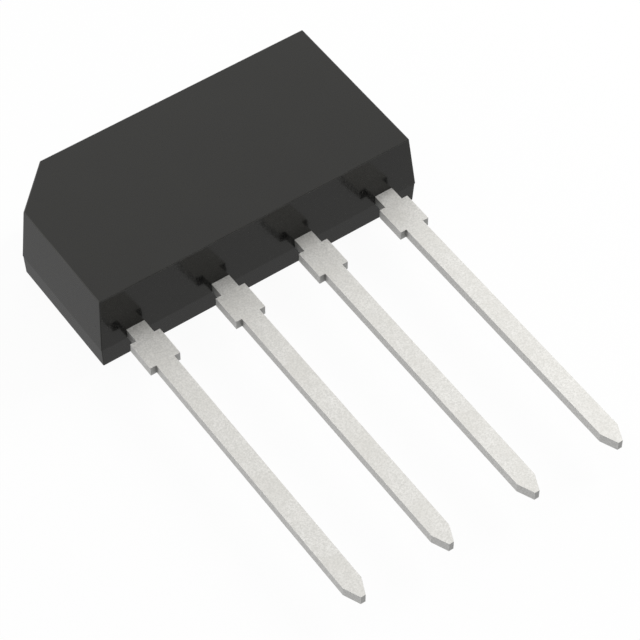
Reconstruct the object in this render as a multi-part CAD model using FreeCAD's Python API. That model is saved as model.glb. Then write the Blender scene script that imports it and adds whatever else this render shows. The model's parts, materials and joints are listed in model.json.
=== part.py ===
import FreeCAD, Part
import math
import os

os.makedirs("parts", exist_ok=True)

# Single in-line bridge rectifier: four diode dice on a flat copper lead frame, moulded in black epoxy.
# Lengths are millimetres and angles are degrees.
# X runs along the row of leads, the leads point towards -Y, and +Z is up.
# The origin is the middle of the flat back that the part lies on.

# Row of leads outside the moulding
pitch = 5.08
lead_width = 1.06
lead_thickness = 0.58
lead_reach = 19.36
shoulder_standoff = 0.845
shoulder_length = 1.83
shoulder_width = 1.75
tip_length = 0.885
tip_width = 0.27

# Epoxy moulding: walls round the lead frame, draft of the two mould halves, and its corner cut
end_margin = 2.06
front_wall = 1.2
back_wall = 1.35
lower_cover = 1.35
upper_cover = 1.94
upper_draft = 5.2
lower_draft = 2.4
parting_step = 0.02
corner_cut = 2.65
corner_wall = 1.1
edge_radius = 0.07

# Marks that the mould leaves on the hidden sides
ejector_diameter = 1.6
ejector_depth = 0.06
ejector_spacing = 10.4
gate_width = 1.5
gate_height = 0.3
gate_stub = 0.06

# Pads of the lead frame inside the moulding
pad_margin = 0.35
pad_corner = 0.25
frame_gap = 0.65
plus_column_width = 1.8
minus_pad_width = 2.0
lock_hole_diameter = 0.8
lock_hole_margin = 0.3

# Diode dice and solder
die_size = 2.2
die_thickness = 0.3
mesa_inset = 0.2
mesa_height = 0.12
solder_thickness = 0.05
solder_spread = 0.1

# Jumper clips from the tops of the dice to the pads
jumper_width = 1.4
jumper_thickness = 0.25
jumper_overhang = 0.75
jumper_corner = 0.3
bend_radius = 0.1
bend_angle = 60.0
dimple_depth = 0.15
dimple_flat = 0.8
dimple_mouth = 1.2
foot_length = 0.9
foot_margin = 0.25
foot_gap = 0.4

# Leads from the cut corner: plus, alternating current 1 and 2, minus
lead_x = [(place - 1.5) * pitch for place in range(4)]
plus_x, ac_1_x, ac_2_x, minus_x = lead_x

# Plan of the lead frame, counted back from the front of the moulding
pad_width = die_size + 2 * pad_margin
pad_length = pad_margin + die_size + foot_gap + foot_length + foot_margin
body_width = front_wall + pad_length + frame_gap + pad_width + back_wall
body_length = lead_x[-1] - lead_x[0] + 2 * end_margin
body_front = -body_width / 2
body_back = body_width / 2
pad_front = body_front + front_wall
pad_back = pad_front + pad_length
bar_front = pad_back + frame_gap
bar_back = bar_front + pad_width
front_row_y = pad_front + pad_margin + die_size / 2
back_row_y = (bar_front + bar_back) / 2
foot_front = pad_back - foot_margin - foot_length

# Heights: the mould parts at the underside of the lead frame
frame_bottom = lower_cover
frame_top = frame_bottom + lead_thickness
die_bottom = frame_top + solder_thickness
die_top = die_bottom + die_thickness
strip_bottom = die_top + solder_thickness + dimple_depth
body_top = strip_bottom + jumper_thickness + upper_cover


def plate(points, bottom, thickness):
    """Flat blank cut to a plan outline."""
    corners = [FreeCAD.Vector(x, y, bottom) for x, y in points]
    outline = Part.makePolygon(corners + corners[:1])
    return Part.Face(outline).extrude(FreeCAD.Vector(0, 0, thickness))


def rectangle(x_low, x_high, y_low, y_high):
    """Corners of a rectangle in plan, counter-clockwise."""
    return [(x_low, y_low), (x_high, y_low), (x_high, y_high), (x_low, y_high)]


def grown(x, y, half_x, half_y, growth):
    """Corners of a rectangle about a point, with every side moved out by growth."""
    return rectangle(x - half_x - growth, x + half_x + growth, y - half_y - growth, y + half_y + growth)


def tapered_block(lower_outline, lower_z, upper_outline, upper_z):
    """Solid with flat sloping sides between two outlines that have parallel sides, the lower one first."""
    lower = [FreeCAD.Vector(x, y, lower_z) for x, y in lower_outline]
    upper = [FreeCAD.Vector(x, y, upper_z) for x, y in upper_outline]
    rings = [lower[::-1], upper]
    count = len(lower)
    for first in range(count):
        second = (first + 1) % count
        rings.append([lower[first], lower[second], upper[second], upper[first]])
    faces = [Part.Face(Part.makePolygon(ring + ring[:1])) for ring in rings]
    return Part.makeSolid(Part.makeShell(faces))


def upright_edges(solid):
    """Edges of a solid that run straight up."""
    found = []
    for edge in solid.Edges:
        first, last = edge.Vertexes[0].Point, edge.Vertexes[-1].Point
        if math.hypot(last.x - first.x, last.y - first.y) < 1e-6 < abs(last.z - first.z):
            found.append(edge)
    return found


def body_outline(inset):
    """Plan outline of the moulding, with every wall, the cut corner's too, moved in by inset."""
    half_length = body_length / 2 - inset
    half_width = body_width / 2 - inset
    cut = corner_cut - inset * (2 - math.sqrt(2))
    return [
        (-half_length, -half_width),
        (half_length, -half_width),
        (half_length, half_width),
        (cut - half_length, half_width),
        (-half_length, half_width - cut),
    ]


def rounded_off_parting(half):
    """A mould half's shape with every edge rounded, other than those in the parting plane."""
    edges = [edge for edge in half.Edges if abs(edge.CenterOfMass.z - frame_bottom) > 1e-6]
    return half.makeFillet(edge_radius, edges)


def upper_half():
    """What the deep mould half forms: walls drafted in from the parting plane up to the flat face."""
    inset = (body_top - frame_bottom) * math.tan(math.radians(upper_draft))
    half = tapered_block(body_outline(0), frame_bottom, body_outline(inset), body_top)
    return rounded_off_parting(half)


def lower_half():
    """What the shallow mould half forms, smaller all round by the step between the two halves."""
    inset = parting_step + lower_cover * math.tan(math.radians(lower_draft))
    half = tapered_block(body_outline(inset), 0, body_outline(parting_step), frame_bottom)
    return rounded_off_parting(half)


def ejector_marks():
    """Shallow round dents that the ejector pins leave in the back."""
    marks = []
    for side in (-1, 1):
        centre = FreeCAD.Vector(side * ejector_spacing / 2, 0, 0)
        marks.append(Part.makeCylinder(ejector_diameter / 2, ejector_depth, centre))
    return marks


def gate_mark():
    """Stub of the broken-off gate, below the parting line on the side away from the leads."""
    return Part.makeBox(
        gate_width,
        gate_stub + back_wall / 2,
        gate_height,
        FreeCAD.Vector(-gate_width / 2, body_back - back_wall / 2, frame_bottom - gate_height),
    )


def epoxy_body(inserts):
    """Black moulding, cast round everything in inserts, which it touches all over."""
    moulding = upper_half().fuse([lower_half(), gate_mark()]).cut(ejector_marks())
    return moulding.cut(inserts)


def outer_lead(x):
    """Neck, shoulder, blade and pointed tip of a lead, from the front of its pad outwards."""
    shoulder_back = body_front - shoulder_standoff
    shoulder_front = shoulder_back - shoulder_length
    tip_end = body_front - lead_reach
    right_side = [
        (tip_width / 2, tip_end),
        (lead_width / 2, tip_end + tip_length),
        (lead_width / 2, shoulder_front),
        (shoulder_width / 2, shoulder_front),
        (shoulder_width / 2, shoulder_back),
        (lead_width / 2, shoulder_back),
        (lead_width / 2, pad_front),
    ]
    left_side = [(-offset, y) for offset, y in reversed(right_side)]
    outline = [(x + offset, y) for offset, y in right_side + left_side]
    return plate(outline, frame_bottom, lead_thickness)


def stamped_lead(x, pad_outline, hole_y=None):
    """One lead and its pad, stamped from flat strip, with a hole for the epoxy to lock into."""
    pad = plate(pad_outline, frame_bottom, lead_thickness)
    pad = pad.makeFillet(pad_corner, upright_edges(pad))
    lead = outer_lead(x).fuse(pad).removeSplitter()
    if hole_y is None:
        return lead
    hole_foot = FreeCAD.Vector(x, hole_y, frame_bottom)
    return lead.cut(Part.makeCylinder(lock_hole_diameter / 2, lead_thickness, hole_foot))


def ac_lead(x):
    """Lead whose pad carries a front-row die and the foot of a jumper."""
    return stamped_lead(x, rectangle(x - pad_width / 2, x + pad_width / 2, pad_front, pad_back))


def minus_lead():
    """Lead whose pad takes the foot of the long jumper."""
    left = minus_x - minus_pad_width / 2
    right = minus_x + minus_pad_width / 2
    hole_y = pad_back - lock_hole_margin - lock_hole_diameter / 2
    return stamped_lead(minus_x, rectangle(left, right, pad_front, pad_back), hole_y)


def plus_lead():
    """Lead with a column back to the bar under both back-row dice, cut off beside the moulding's corner."""
    left = plus_x - plus_column_width / 2
    right = plus_x + plus_column_width / 2
    bar_end = ac_2_x + pad_width / 2
    corner_limit = body_length / 2 + body_width / 2 - corner_cut - corner_wall * math.sqrt(2)
    bar_cut = bar_back - left - corner_limit
    outline = [
        (left, pad_front),
        (right, pad_front),
        (right, bar_front),
        (bar_end, bar_front),
        (bar_end, bar_back),
        (left + bar_cut, bar_back),
        (left, bar_back - bar_cut),
    ]
    return stamped_lead(plus_x, outline, front_row_y)


def diode_die(x, y):
    """Silicon die: square base with a mesa on top, whose sloped rim holds the junction."""
    half = die_size / 2
    rim_z = die_top - mesa_height
    base = plate(grown(x, y, half, half, 0), die_bottom, rim_z - die_bottom)
    mesa = tapered_block(grown(x, y, half, half, 0), rim_z, grown(x, y, half, half, -mesa_inset), die_top)
    return base.fuse(mesa)


def solder_film(x, y, half_x, half_y):
    """Solder between the lead frame and a flat piece above it, spread a little at its foot."""
    foot = grown(x, y, half_x, half_y, solder_spread)
    return tapered_block(foot, frame_top, grown(x, y, half_x, half_y, 0), die_bottom)


def anode_solder(x, y):
    """Solder button between the top of a die and a jumper's dimple."""
    return Part.makeCone(
        dimple_flat / 2 + solder_spread,
        dimple_flat / 2,
        solder_thickness,
        FreeCAD.Vector(x, y, die_top),
    )


def bent_strip(reach):
    """Flat strip along +X that starts as a foot and steps up at two rounded bends."""
    slope = math.radians(bend_angle)
    mitre = math.tan(slope / 2)
    outer_radius = bend_radius + jumper_thickness
    lower_bend = foot_length + outer_radius * mitre
    upper_bend = lower_bend + (strip_bottom - die_bottom) / math.tan(slope)
    underside = [(0, die_bottom), (lower_bend, die_bottom), (upper_bend, strip_bottom), (reach, strip_bottom)]
    back_shift = jumper_thickness * mitre
    top = [
        (reach, strip_bottom + jumper_thickness),
        (upper_bend - back_shift, strip_bottom + jumper_thickness),
        (lower_bend - back_shift, die_bottom + jumper_thickness),
        (0, die_bottom + jumper_thickness),
    ]
    corners = [FreeCAD.Vector(x, -jumper_width / 2, z) for x, z in underside + top]
    profile = Part.Face(Part.makePolygon(corners + corners[:1]))
    strip = profile.extrude(FreeCAD.Vector(0, jumper_width, 0))
    strip = strip.makeFillet(jumper_corner, upright_edges(strip))
    inner = [edges_across(strip, place) for place in (underside[2], top[2])]
    strip = strip.makeFillet(bend_radius, inner)
    outer = [edges_across(strip, place) for place in (underside[1], top[1])]
    return strip.makeFillet(outer_radius, outer)


def edges_across(strip, place):
    """The edge that crosses a strip at one corner of its profile."""
    x, z = place
    return min(strip.Edges, key=lambda edge: (edge.CenterOfMass - FreeCAD.Vector(x, 0, z)).Length)


def jumper(foot_x, foot_y, heading, dimple_places):
    """Copper clip that starts with its foot at a point and runs over the dice at dimple_places."""
    clip = bent_strip(max(dimple_places) + jumper_overhang)
    strip_top = strip_bottom + jumper_thickness
    bump_bottom = strip_bottom - dimple_depth
    for place in dimple_places:
        bump_foot = FreeCAD.Vector(place, 0, bump_bottom)
        clip = clip.fuse(Part.makeCone(dimple_flat / 2, dimple_mouth / 2, dimple_depth, bump_foot))
    for place in dimple_places:
        dent_foot = FreeCAD.Vector(place, 0, strip_top - dimple_depth)
        clip = clip.cut(Part.makeCone(dimple_flat / 2, dimple_mouth / 2, dimple_depth, dent_foot))
    clip.rotate(FreeCAD.Vector(0, 0, 0), FreeCAD.Vector(0, 0, 1), heading)
    clip.translate(FreeCAD.Vector(foot_x, foot_y, 0))
    return clip


def make_inserts():
    """Everything that the epoxy holds, by name."""
    inserts = {
        "lead_plus": plus_lead(),
        "lead_ac_1": ac_lead(ac_1_x),
        "lead_ac_2": ac_lead(ac_2_x),
        "lead_minus": minus_lead(),
    }
    die_places = [(ac_1_x, back_row_y), (ac_2_x, back_row_y), (ac_1_x, front_row_y), (ac_2_x, front_row_y)]
    for number, (x, y) in enumerate(die_places, start=1):
        inserts[f"diode_die_{number}"] = diode_die(x, y)
        inserts[f"die_solder_{number}"] = solder_film(x, y, die_size / 2, die_size / 2)
        inserts[f"anode_solder_{number}"] = anode_solder(x, y)

    foot_middle = foot_front + foot_length / 2
    for name, x in (("ac_1", ac_1_x), ("ac_2", ac_2_x)):
        inserts[f"jumper_{name}"] = jumper(x, foot_front, 90, [back_row_y - foot_front])
        inserts[f"foot_solder_{name}"] = solder_film(x, foot_middle, jumper_width / 2, foot_length / 2)

    foot_end = minus_x + foot_length / 2
    inserts["jumper_minus"] = jumper(foot_end, front_row_y, 180, [foot_end - ac_2_x, foot_end - ac_1_x])
    inserts["foot_solder_minus"] = solder_film(minus_x, front_row_y, foot_length / 2, jumper_width / 2)
    return inserts


pieces = make_inserts()
pieces["epoxy_body"] = epoxy_body(list(pieces.values()))
for node_name, shape in pieces.items():
    shape.exportStep(f"parts/{node_name}.step")
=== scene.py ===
import bpy
import json
import math
from mathutils import Matrix, Vector

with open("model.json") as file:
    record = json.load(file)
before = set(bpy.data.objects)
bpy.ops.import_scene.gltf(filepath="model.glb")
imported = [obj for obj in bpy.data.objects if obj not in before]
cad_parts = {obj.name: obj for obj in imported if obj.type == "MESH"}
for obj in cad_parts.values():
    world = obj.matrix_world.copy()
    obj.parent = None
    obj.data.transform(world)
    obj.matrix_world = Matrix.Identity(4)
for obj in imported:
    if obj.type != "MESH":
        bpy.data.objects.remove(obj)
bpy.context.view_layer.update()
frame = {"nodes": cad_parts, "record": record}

MM = 0.001
WHITE = (1, 1, 1, 1)

# Camera: where it looks, its angles in degrees, how far away it is, and its lens
LOOK_AT = Vector((0.339, -9.693, 1.350)) * MM
AZIMUTH = -35.323
ELEVATION = 51.604
ROLL = 0.228
DISTANCE = 132.833 * MM
LENS = 149.187
NEAR_CLIP = 10 * MM

# Ranges that hold nearly all, and most, of a noise pattern's values
WIDE = (0.3, 0.7)
NARROW = (0.35, 0.65)

# Agreement between the flat and the rounded normal, away from an edge and on it
EDGE_AGREEMENT = (1.0, 0.85)
EDGE_SAMPLES = 4

# Moulding compound: dark and pale tone, then the tones of its specks, rubbed edges and rounded rims, the
# rims' paler tone partly wear and partly a painted highlight
EPOXY_TONES = ((0.0026, 0.0026, 0.0024, 1), (0.0038, 0.0038, 0.0036, 1))
EPOXY_SPECK = (0.009, 0.009, 0.0085, 1)
EPOXY_RUBBED = (0.05, 0.05, 0.048, 1)
EPOXY_RIM_HIGHLIGHT = (0.052, 0.052, 0.05, 1)

# Moulding compound: sizes of its patterns, and how strongly they show
EPOXY_CLOUD_SIZE = 2.6 * MM
EPOXY_SPECK_SIZE = 0.05 * MM
EPOXY_SPECK_RANGE = (0.62, 0.75)
EPOXY_SPECK_SHARE = 0.5
EPOXY_RUB_WIDTH = 0.12 * MM
EPOXY_RUB_SHARE = (0.1, 0.4)
EPOXY_RIM_HIGHLIGHT_SHARE = (0.7, 1.0)
EPOXY_GRAIN_SIZE = 0.06 * MM
EPOXY_BUMP = (0.1, 0.002 * MM)

# Upright part of the normal where a rounded rim leaves the wall, and where it meets the flat face
RIM_FROM_WALL = (0.1, 0.2)
RIM_TO_FACE = (0.995, 0.96)

# Skin of the moulding: lowest and highest roughness of its two parts, and the share of the satin one
EPOXY_GLOSSY = (0.08, 0.12)
EPOXY_SATIN = (0.22, 0.3)
EPOXY_SATIN_SHARE = (0.3, 0.42)
EPOXY_IOR = 1.5
EPOXY_MIRROR_TINT = (1.0, 0.995, 0.95, 1)

# Tin on the leads: dark and pale tone of the flat faces, the sheared sides and the faces turned to the tips,
# the last darker as painted shade
TIN_FACE = ((0.68, 0.673, 0.646, 1), (0.89, 0.882, 0.86, 1))
TIN_SIDE = ((0.67, 0.665, 0.645, 1), (0.85, 0.845, 0.83, 1))
TIN_END_PAINTED_SHADE = ((0.53, 0.53, 0.515, 1), (0.68, 0.68, 0.665, 1))
TIN_CLOUD = (0.70, 0.688, 0.65, 1)
# Tone of the painted shade in the leads' corners
TIN_PAINTED_SHADE = (0.25, 0.25, 0.24, 1)
TIN_RUBBED = (0.88, 0.875, 0.86, 1)

# Tin on the leads: sizes of its patterns, and how strongly they show
TIN_SPECKLE_SIZE = 0.09 * MM
TIN_SPECKLE_ROUGHNESS = 0.7
TIN_CLOUD_SIZE = 1.4 * MM
TIN_CLOUD_SHARE = (0.0, 0.3)
TIN_RUB_WIDTH = 0.05 * MM
TIN_RUB_SHARE = (0.1, 0.5)
TIN_BUMP = (0.25, 0.004 * MM)
TIN_ROUGHNESS = (0.68, 0.82)
SHEARED_SMOOTHNESS = 0.18

# Painted shade in the corners of the leads: its reach, how open an unshaded and a fully shaded place are, and
# its share
PAINTED_SHADE_REACH = 1.2 * MM
PAINTED_SHADE_SAMPLES = 8
PAINTED_SHADE_OPENNESS = (0.85, 0.4)
PAINTED_SHADE_SHARE = (0.0, 0.85)

# Parts of the normal that tell the faces of a lead apart: upright, and towards the tip and the moulding
SHEARED_UPRIGHT = (0.8, 0.4)
TURNED_TO_TIP = (-0.25, -0.8)
TURNED_TO_BODY = (0.8, 0.25)

# Sealed pieces: dark and pale tone, size of the grain, and lowest and highest roughness
SEALED_FINISHES = {
    "copper": ((0.66, 0.33, 0.21, 1), (0.78, 0.42, 0.28, 1), 0.09 * MM, 0.3, 0.42),
    "silicon": ((0.16, 0.16, 0.18, 1), (0.24, 0.24, 0.27, 1), 0.03 * MM, 0.25, 0.4),
    "solder": ((0.38, 0.38, 0.40, 1), (0.50, 0.50, 0.52, 1), 0.07 * MM, 0.35, 0.5),
}
SEALED_BUMP = (0.2, 0.003 * MM)

# Floor: side, depth under the part, and how much of its own white the camera sees
FLOOR_SIZE = 1.2
FLOOR_DROP = 0.01 * MM
FLOOR_COLOUR = (0.95, 0.95, 0.94, 1)
FLOOR_WHITENING = 0.95

# Brightness of the dome above and below the horizon: even part, and what each side or corner adds
SKY_EVEN = 0.40
SKY_LEFT = 0.13
SKY_BACK = 1.07
SKY_FRONT = -0.32
GROUND_EVEN = 0.25
GROUND_LEFT = 0.6
GROUND_FRONT = 0.49
GROUND_CORNER = -1.15
GROUND_BENEATH = 0.4
BENEATH_RANGE = (-0.82, -0.95)
HORIZON_BLEND = 0.1

# Lamp, in metres and watts
LAMP_PLACE = Vector((0.16, 0.0, 0.10))
LAMP_AIM = Vector((0.0, -0.01, 0.0))
LAMP_SIZE = 0.10
LAMP_POWER = 0.236


def new_material(name):
    """An empty node material with its output, and the tree to fill."""
    material = bpy.data.materials.new(name)
    material.use_nodes = True
    tree = material.node_tree
    tree.nodes.clear()
    return material, tree, tree.nodes.new("ShaderNodeOutputMaterial")


def add(tree, kind, inputs=None, **settings):
    """A node with its settings, and its inputs, by name or number, set to values or linked to sockets."""
    node = tree.nodes.new(kind)
    for name, value in settings.items():
        setattr(node, name, value)
    for place, value in (inputs or {}).items():
        socket = node.inputs[place]
        if isinstance(value, bpy.types.NodeSocket):
            tree.links.new(value, socket)
        else:
            socket.default_value = value
    return node


def noise(tree, where, size, detail=3.0, roughness=0.55):
    """Soft random pattern from 0 to 1, whose blots are about size across."""
    inputs = {"Vector": where, "Scale": 1 / size, "Detail": detail, "Roughness": roughness}
    return add(tree, "ShaderNodeTexNoise", inputs).outputs["Fac"]


def spread(tree, value, low, high, start=0.0, end=1.0):
    """Value taken from the range low..high to start..end, and held there outside it."""
    inputs = {"Value": value, "From Min": low, "From Max": high, "To Min": start, "To Max": end}
    return add(tree, "ShaderNodeMapRange", inputs).outputs["Result"]


def mix_colour(tree, factor, first, second):
    """First colour at factor 0 and second at 1."""
    # A colour mix takes its factor at input 0 and its colours at 6 and 7, and gives its result at output 2
    inputs = {0: factor, 6: first, 7: second}
    return add(tree, "ShaderNodeMix", inputs, data_type="RGBA").outputs[2]


def mix_shader(tree, factor, first, second):
    """First shader at factor 0 and second at 1."""
    return add(tree, "ShaderNodeMixShader", {0: factor, 1: first, 2: second}).outputs[0]


def maths(tree, operation, *values):
    """Numbers put together by one operation."""
    return add(tree, "ShaderNodeMath", dict(enumerate(values)), operation=operation).outputs[0]


def object_place(tree):
    """Position on the piece, in metres."""
    return add(tree, "ShaderNodeTexCoord").outputs["Object"]


def normal_parts(tree):
    """The surface's normal, as its three parts."""
    normal = add(tree, "ShaderNodeNewGeometry").outputs["Normal"]
    return add(tree, "ShaderNodeSeparateXYZ", {"Vector": normal}).outputs


def bumped(tree, pattern, strength, depth):
    """Normal of a surface that rises and falls with a pattern."""
    inputs = {"Strength": strength, "Distance": depth, "Height": pattern}
    return add(tree, "ShaderNodeBump", inputs).outputs["Normal"]


def edge_mask(tree, radius):
    """1 along sharp outer and inner edges, falling to 0 within radius of them."""
    rounded = add(tree, "ShaderNodeBevel", {"Radius": radius}, samples=EDGE_SAMPLES).outputs["Normal"]
    flat = add(tree, "ShaderNodeNewGeometry").outputs["Normal"]
    alike = add(tree, "ShaderNodeVectorMath", {0: rounded, 1: flat}, operation="DOT_PRODUCT")
    return spread(tree, alike.outputs["Value"], *EDGE_AGREEMENT)


def rubbed_edges(tree, width, clouds, share):
    """Mask of the edges that wear has rubbed, more of them in some places than in others."""
    return maths(tree, "MULTIPLY", edge_mask(tree, width), spread(tree, clouds, *NARROW, *share))


def rounded_rim(tree):
    """1 on the rounded edges between walls and flat faces, and 0 on the walls and faces themselves."""
    lean = maths(tree, "ABSOLUTE", normal_parts(tree)["Z"])
    from_wall = spread(tree, lean, *RIM_FROM_WALL)
    return maths(tree, "MULTIPLY", from_wall, spread(tree, lean, *RIM_TO_FACE))


def epoxy():
    """Black moulding compound: glossy skin with a satin share, specks, edges rubbed a little paler, and
    rounded rims paler still, partly from wear and partly a painted highlight.
    """
    material, tree, output = new_material("epoxy")
    where = object_place(tree)
    clouds = noise(tree, where, EPOXY_CLOUD_SIZE)
    specks = noise(tree, where, EPOXY_SPECK_SIZE, detail=2.0)
    tone = mix_colour(tree, spread(tree, clouds, *WIDE), *EPOXY_TONES)
    specked = spread(tree, specks, *EPOXY_SPECK_RANGE, 0.0, EPOXY_SPECK_SHARE)
    tone = mix_colour(tree, specked, tone, EPOXY_SPECK)
    rubbed = rubbed_edges(tree, EPOXY_RUB_WIDTH, clouds, EPOXY_RUB_SHARE)
    tone = mix_colour(tree, rubbed, tone, EPOXY_RUBBED)
    # Rounded rims made paler: partly wear, partly a painted highlight that evens out their reflection
    rim = maths(tree, "MULTIPLY", rounded_rim(tree), spread(tree, clouds, *WIDE, *EPOXY_RIM_HIGHLIGHT_SHARE))
    tone = mix_colour(tree, rim, tone, EPOXY_RIM_HIGHLIGHT)
    grain = noise(tree, where, EPOXY_GRAIN_SIZE, detail=4.0)
    normal = bumped(tree, grain, *EPOXY_BUMP)
    skins = []
    for roughness in (EPOXY_GLOSSY, EPOXY_SATIN):
        inputs = {
            "Base Color": tone,
            "Roughness": spread(tree, grain, *WIDE, *roughness),
            "IOR": EPOXY_IOR,
            "Specular Tint": EPOXY_MIRROR_TINT,
            "Normal": normal,
        }
        skins.append(add(tree, "ShaderNodeBsdfPrincipled", inputs).outputs[0])
    skin = mix_shader(tree, spread(tree, clouds, *WIDE, *EPOXY_SATIN_SHARE), *skins)
    tree.links.new(skin, output.inputs["Surface"])
    return material


def metal_surface(tree, output, tone, roughness, normal):
    """Gives a material the surface of bare metal."""
    inputs = {"Base Color": tone, "Metallic": 1.0, "Roughness": roughness, "Normal": normal}
    shader = add(tree, "ShaderNodeBsdfPrincipled", inputs)
    tree.links.new(shader.outputs[0], output.inputs["Surface"])


def tinned():
    """Matt tin on stamped copper: fine speckle, smoother sheared sides, painted shade in the corners and on
    the faces turned to the tips, and rubbed edges.
    """
    material, tree, output = new_material("tinned_lead")
    where = object_place(tree)
    speckle = noise(tree, where, TIN_SPECKLE_SIZE, roughness=TIN_SPECKLE_ROUGHNESS)
    clouds = noise(tree, where, TIN_CLOUD_SIZE)
    face = mix_colour(tree, spread(tree, speckle, *NARROW), *TIN_FACE)
    face = mix_colour(tree, spread(tree, clouds, *NARROW, *TIN_CLOUD_SHARE), face, TIN_CLOUD)
    side = mix_colour(tree, spread(tree, speckle, *NARROW), *TIN_SIDE)
    # Faces turned to the tips get a darker tone, which is painted shade
    end = mix_colour(tree, spread(tree, speckle, *NARROW), *TIN_END_PAINTED_SHADE)

    turned = normal_parts(tree)
    sheared = spread(tree, maths(tree, "ABSOLUTE", turned["Z"]), *SHEARED_UPRIGHT)
    to_tip = spread(tree, turned["Y"], *TURNED_TO_TIP)
    # Painted shade: sheared faces darken where ambient occlusion finds them closed in, except the faces
    # turned to the moulding
    openness = add(tree, "ShaderNodeAmbientOcclusion", {"Distance": PAINTED_SHADE_REACH}, samples=PAINTED_SHADE_SAMPLES)
    painted_shade = spread(tree, openness.outputs["AO"], *PAINTED_SHADE_OPENNESS, *PAINTED_SHADE_SHARE)
    painted_shade = maths(tree, "MULTIPLY", painted_shade, spread(tree, turned["Y"], *TURNED_TO_BODY))
    cut = mix_colour(tree, painted_shade, mix_colour(tree, to_tip, side, end), TIN_PAINTED_SHADE)
    tone = mix_colour(tree, sheared, face, cut)
    rubbed = rubbed_edges(tree, TIN_RUB_WIDTH, clouds, TIN_RUB_SHARE)
    tone = mix_colour(tree, rubbed, tone, TIN_RUBBED)

    matt = spread(tree, speckle, *WIDE, *TIN_ROUGHNESS)
    roughness = maths(tree, "MULTIPLY_ADD", sheared, -SHEARED_SMOOTHNESS, matt)
    metal_surface(tree, output, tone, roughness, bumped(tree, speckle, *TIN_BUMP))
    return material


def sealed_metal(name, dark, pale, grain_size, low_rough, high_rough):
    """Finish of the sealed pieces: two tones in a fine grain, with roughness and bump from the same grain."""
    material, tree, output = new_material(name)
    grain = noise(tree, object_place(tree), grain_size)
    tone = mix_colour(tree, spread(tree, grain, *WIDE), dark, pale)
    roughness = spread(tree, grain, *WIDE, low_rough, high_rough)
    metal_surface(tree, output, tone, roughness, bumped(tree, grain, *SEALED_BUMP))
    return material


def dress_nodes():
    """Gives every node of the model the material of its slot."""
    materials = {"epoxy": epoxy(), "tinned_lead": tinned()}
    for name, finish in SEALED_FINISHES.items():
        materials[name] = sealed_metal(name, *finish)
    slots = {row["node"]: row["material_slot"] for row in frame["record"]["subparts"]}
    for name, piece in frame["nodes"].items():
        piece.data.materials.clear()
        piece.data.materials.append(materials[slots[name]])


def make_floor():
    """White floor that keeps the shadow, and lets reflections and views from below see the dome's ground."""
    half = FLOOR_SIZE / 2
    mesh = bpy.data.meshes.new("floor")
    corners = [(x, y, -FLOOR_DROP) for x, y in ((-half, -half), (half, -half), (half, half), (-half, half))]
    mesh.from_pydata(corners, [], [(0, 1, 2, 3)])
    floor = bpy.data.objects.new("floor", mesh)
    bpy.context.scene.collection.objects.link(floor)

    material, tree, output = new_material("floor")
    pale = add(tree, "ShaderNodeBsdfDiffuse", {"Color": FLOOR_COLOUR}).outputs[0]
    white = add(tree, "ShaderNodeEmission", {"Color": WHITE, "Strength": 1.0}).outputs[0]
    rays = add(tree, "ShaderNodeLightPath").outputs
    share = maths(tree, "MULTIPLY", rays["Is Camera Ray"], FLOOR_WHITENING)
    surface = mix_shader(tree, share, pale, white)
    mirrored = maths(tree, "MAXIMUM", rays["Is Glossy Ray"], rays["Is Transmission Ray"])
    below = add(tree, "ShaderNodeNewGeometry").outputs["Backfacing"]
    clear = add(tree, "ShaderNodeBsdfTransparent").outputs[0]
    seen = mix_shader(tree, maths(tree, "MAXIMUM", mirrored, below), surface, clear)
    tree.links.new(seen, output.inputs["Surface"])
    mesh.materials.append(material)


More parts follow.
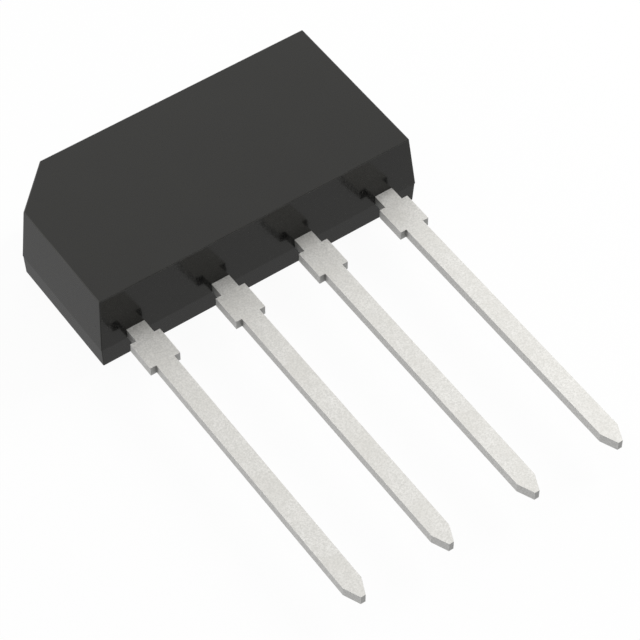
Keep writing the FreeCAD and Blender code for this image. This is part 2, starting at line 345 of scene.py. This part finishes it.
def make_world():
    """Soft dome, brighter behind the object than in front, and its ground, paler at left, front and below."""
    world = bpy.data.worlds.new("studio")
    bpy.context.scene.world = world
    world.use_nodes = True
    world.cycles.sampling_method = "NONE"
    tree = world.node_tree
    tree.nodes.clear()
    direction = add(tree, "ShaderNodeTexCoord").outputs["Generated"]
    parts = add(tree, "ShaderNodeSeparateXYZ", {"Vector": direction}).outputs
    left = maths(tree, "MAXIMUM", maths(tree, "MULTIPLY", parts["X"], -1.0), 0.0)
    front = maths(tree, "MAXIMUM", maths(tree, "MULTIPLY", parts["Y"], -1.0), 0.0)
    back = maths(tree, "MAXIMUM", parts["Y"], 0.0)

    sky = maths(tree, "MULTIPLY_ADD", left, SKY_LEFT, SKY_EVEN)
    sky = maths(tree, "MULTIPLY_ADD", front, SKY_FRONT, sky)
    sky = maths(tree, "MULTIPLY_ADD", back, SKY_BACK, sky)
    ground = maths(tree, "MULTIPLY_ADD", left, GROUND_LEFT, GROUND_EVEN)
    ground = maths(tree, "MULTIPLY_ADD", front, GROUND_FRONT, ground)
    # The ground is dim in the corner between left and front, which the left sides of the leads reflect
    corner = maths(tree, "MINIMUM", left, front)
    ground = maths(tree, "MULTIPLY_ADD", corner, GROUND_CORNER, ground)
    beneath = spread(tree, parts["Z"], *BENEATH_RANGE)
    ground = maths(tree, "MULTIPLY_ADD", beneath, GROUND_BENEATH, ground)
    height = spread(tree, parts["Z"], -HORIZON_BLEND, HORIZON_BLEND)
    level = maths(tree, "MULTIPLY_ADD", height, maths(tree, "SUBTRACT", sky, ground), ground)

    dome = add(tree, "ShaderNodeBackground", {"Color": WHITE, "Strength": level}).outputs[0]
    white = add(tree, "ShaderNodeBackground", {"Color": WHITE, "Strength": 1.0}).outputs[0]
    rays = add(tree, "ShaderNodeLightPath").outputs
    seen = mix_shader(tree, rays["Is Camera Ray"], dome, white)
    output = add(tree, "ShaderNodeOutputWorld")
    tree.links.new(seen, output.inputs["Surface"])


def make_lamp():
    """One round soft lamp on the right, near enough that the far lead is lit a little more."""
    data = bpy.data.lights.new("lamp", "AREA")
    data.shape = "DISK"
    data.size = LAMP_SIZE
    data.energy = LAMP_POWER
    lamp = bpy.data.objects.new("lamp", data)
    bpy.context.scene.collection.objects.link(lamp)
    facing = (LAMP_AIM - LAMP_PLACE).to_track_quat("-Z", "Y").to_matrix().to_4x4()
    lamp.matrix_world = Matrix.Translation(LAMP_PLACE) @ facing


def make_camera():
    """Camera at the photograph's viewing angle."""
    data = bpy.data.cameras.new("camera")
    data.lens = LENS
    data.clip_start = NEAR_CLIP
    camera = bpy.data.objects.new("camera", data)
    bpy.context.scene.collection.objects.link(camera)
    turn = Matrix.Rotation(math.radians(AZIMUTH), 4, "Z")
    tilt = Matrix.Rotation(math.radians(90 - ELEVATION), 4, "X")
    roll = Matrix.Rotation(math.radians(ROLL), 4, "Z")
    facing = turn @ tilt @ roll
    camera.matrix_world = Matrix.Translation(LOOK_AT + facing @ Vector((0, 0, DISTANCE))) @ facing
    bpy.context.scene.camera = camera


make_camera()
dress_nodes()
make_floor()
make_world()
make_lamp()
bpy.context.scene.view_settings.view_transform = "Standard"
